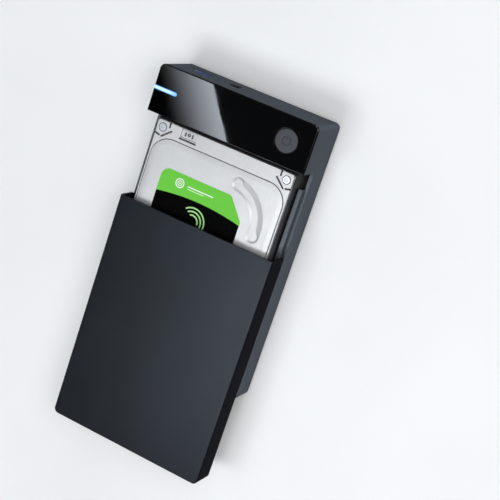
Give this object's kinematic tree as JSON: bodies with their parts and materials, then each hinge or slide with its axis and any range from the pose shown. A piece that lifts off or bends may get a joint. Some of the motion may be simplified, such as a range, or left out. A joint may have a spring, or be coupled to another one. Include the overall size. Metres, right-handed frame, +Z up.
{
  "type": "external hard disk drive",
  "caption": "External 3.5-inch hard disk drive: desktop case with a slide-off cover, lit head panel, power button and sockets, around a bare drive with platters and a head arm.",
  "frame": {"origin": "on the table plane that the rubber feet stand on, under the middle of the case", "axes": "+Z up, +Y along the case towards the head with its sockets, +X towards the power button"},
  "size_m": [0.115, 0.2514, 0.0405],
  "materials": {
    "case_plastic": "fine satin texture",
    "cover_plastic": "fine satin texture",
    "panel_gloss": "mirror gloss",
    "light_strip": "lit clear strip",
    "button_plastic": "matte",
    "black_plastic": "matte",
    "board_green": "solder mask",
    "chip_black": "moulded epoxy",
    "capacitor_can": "satin",
    "zinc_steel": "bright zinc",
    "gold_contact": "gold plate",
    "socket_blue": "moulded blue",
    "nickel_plate": "nickel plate",
    "foam_black": "closed-cell foam",
    "foot_rubber": "matte rubber",
    "gasket_rubber": "matte rubber",
    "cast_aluminium": "die cast, machined faces",
    "lid_steel": "satin stainless",
    "label_print": "printed film, black with a green band",
    "stator_copper": "enamelled windings on a steel core",
    "coil_copper": "enamelled windings",
    "ramp_plastic": "natural acetal",
    "flex_amber": "polyimide film",
    "filter_white": "non-woven",
    "magnet_dark": "bonded ferrite",
    "machined_aluminium": "machined",
    "platter_mirror": "polished"
  },
  "bodies": {
    "enclosure": {"base_shell": "case_plastic", "head_panel": "panel_gloss", "light_guide": "light_strip", "button_switch": "black_plastic", "bridge_board": "board_green", "bridge_chips": "chip_black", "status_led": "light_strip", "board_capacitors": "capacitor_can", "board_screws": "zinc_steel", "sata_receptacle": "black_plastic", "receptacle_contacts": "gold_contact", "usb_shell": "zinc_steel", "usb_tongue": "socket_blue", "dc_jack": "black_plastic", "dc_pin": "nickel_plate", "floor_foam_pads": "foam_black", "rubber_foot_left_rear": "foot_rubber", "rubber_foot_right_rear": "foot_rubber", "rubber_foot_left_front": "foot_rubber", "rubber_foot_right_front": "foot_rubber"},
    "cover": {"slide_cover": "cover_plastic", "cover_foam_pad": "foam_black"},
    "button": {"power_button": "button_plastic", "switch_plunger": "black_plastic"},
    "drive": {"drive_casting": "cast_aluminium", "drive_top_cover": "lid_steel", "drive_gasket": "gasket_rubber", "drive_cover_screws": "zinc_steel", "drive_label": "label_print", "drive_board": "board_green", "drive_board_chips": "chip_black", "drive_board_screws": "zinc_steel", "sata_plug": "black_plastic", "spindle_shaft": "zinc_steel", "motor_stator": "stator_copper", "pivot_post": "zinc_steel", "lower_yoke": "nickel_plate", "lower_magnet": "nickel_plate", "upper_magnet": "nickel_plate", "upper_yoke": "nickel_plate", "parking_ramp": "ramp_plastic", "flex_connector": "flex_amber", "air_filter": "filter_white", "desiccant_pack": "filter_white"},
    "platters": {"rotor_magnet": "magnet_dark", "spindle_hub": "machined_aluminium", "platter_1": "platter_mirror", "platter_2": "platter_mirror", "platter_3": "platter_mirror", "platter_spacer_1": "machined_aluminium", "platter_spacer_2": "machined_aluminium", "disk_clamp": "machined_aluminium", "clamp_screws": "zinc_steel"},
    "actuator": {"actuator_arms": "machined_aluminium", "pivot_bearing": "zinc_steel", "voice_coil": "coil_copper", "head_suspensions": "nickel_plate", "head_sliders": "chip_black"}
  },
  "joints": [
    {"name": "cover_slide", "type": "slide", "parent": "enclosure", "child": "cover", "axis": [0, 1, 0], "range_m": [-0.1, 0.0584]},
    {"name": "button_press", "type": "slide", "parent": "enclosure", "child": "button", "axis": [0, 0, -1], "range_m": [0, 0.0008], "stiffness_N_per_m": 400, "springref_m": -0.0005},
    {"name": "drive_unplug", "type": "slide", "parent": "enclosure", "child": "drive", "axis": [0, -1, 0], "range_m": [0, 0.0065]},
    {"name": "platter_spin", "type": "hinge", "parent": "drive", "child": "platters", "pos_m": [0, -0.0345, 0.023], "axis": [0, 0, 1], "continuous": true},
    {"name": "head_swing", "type": "hinge", "parent": "drive", "child": "actuator", "pos_m": [0.021, 0.0195, 0.023], "axis": [0, 0, 1], "range_deg": [0, 33]}
  ]
}
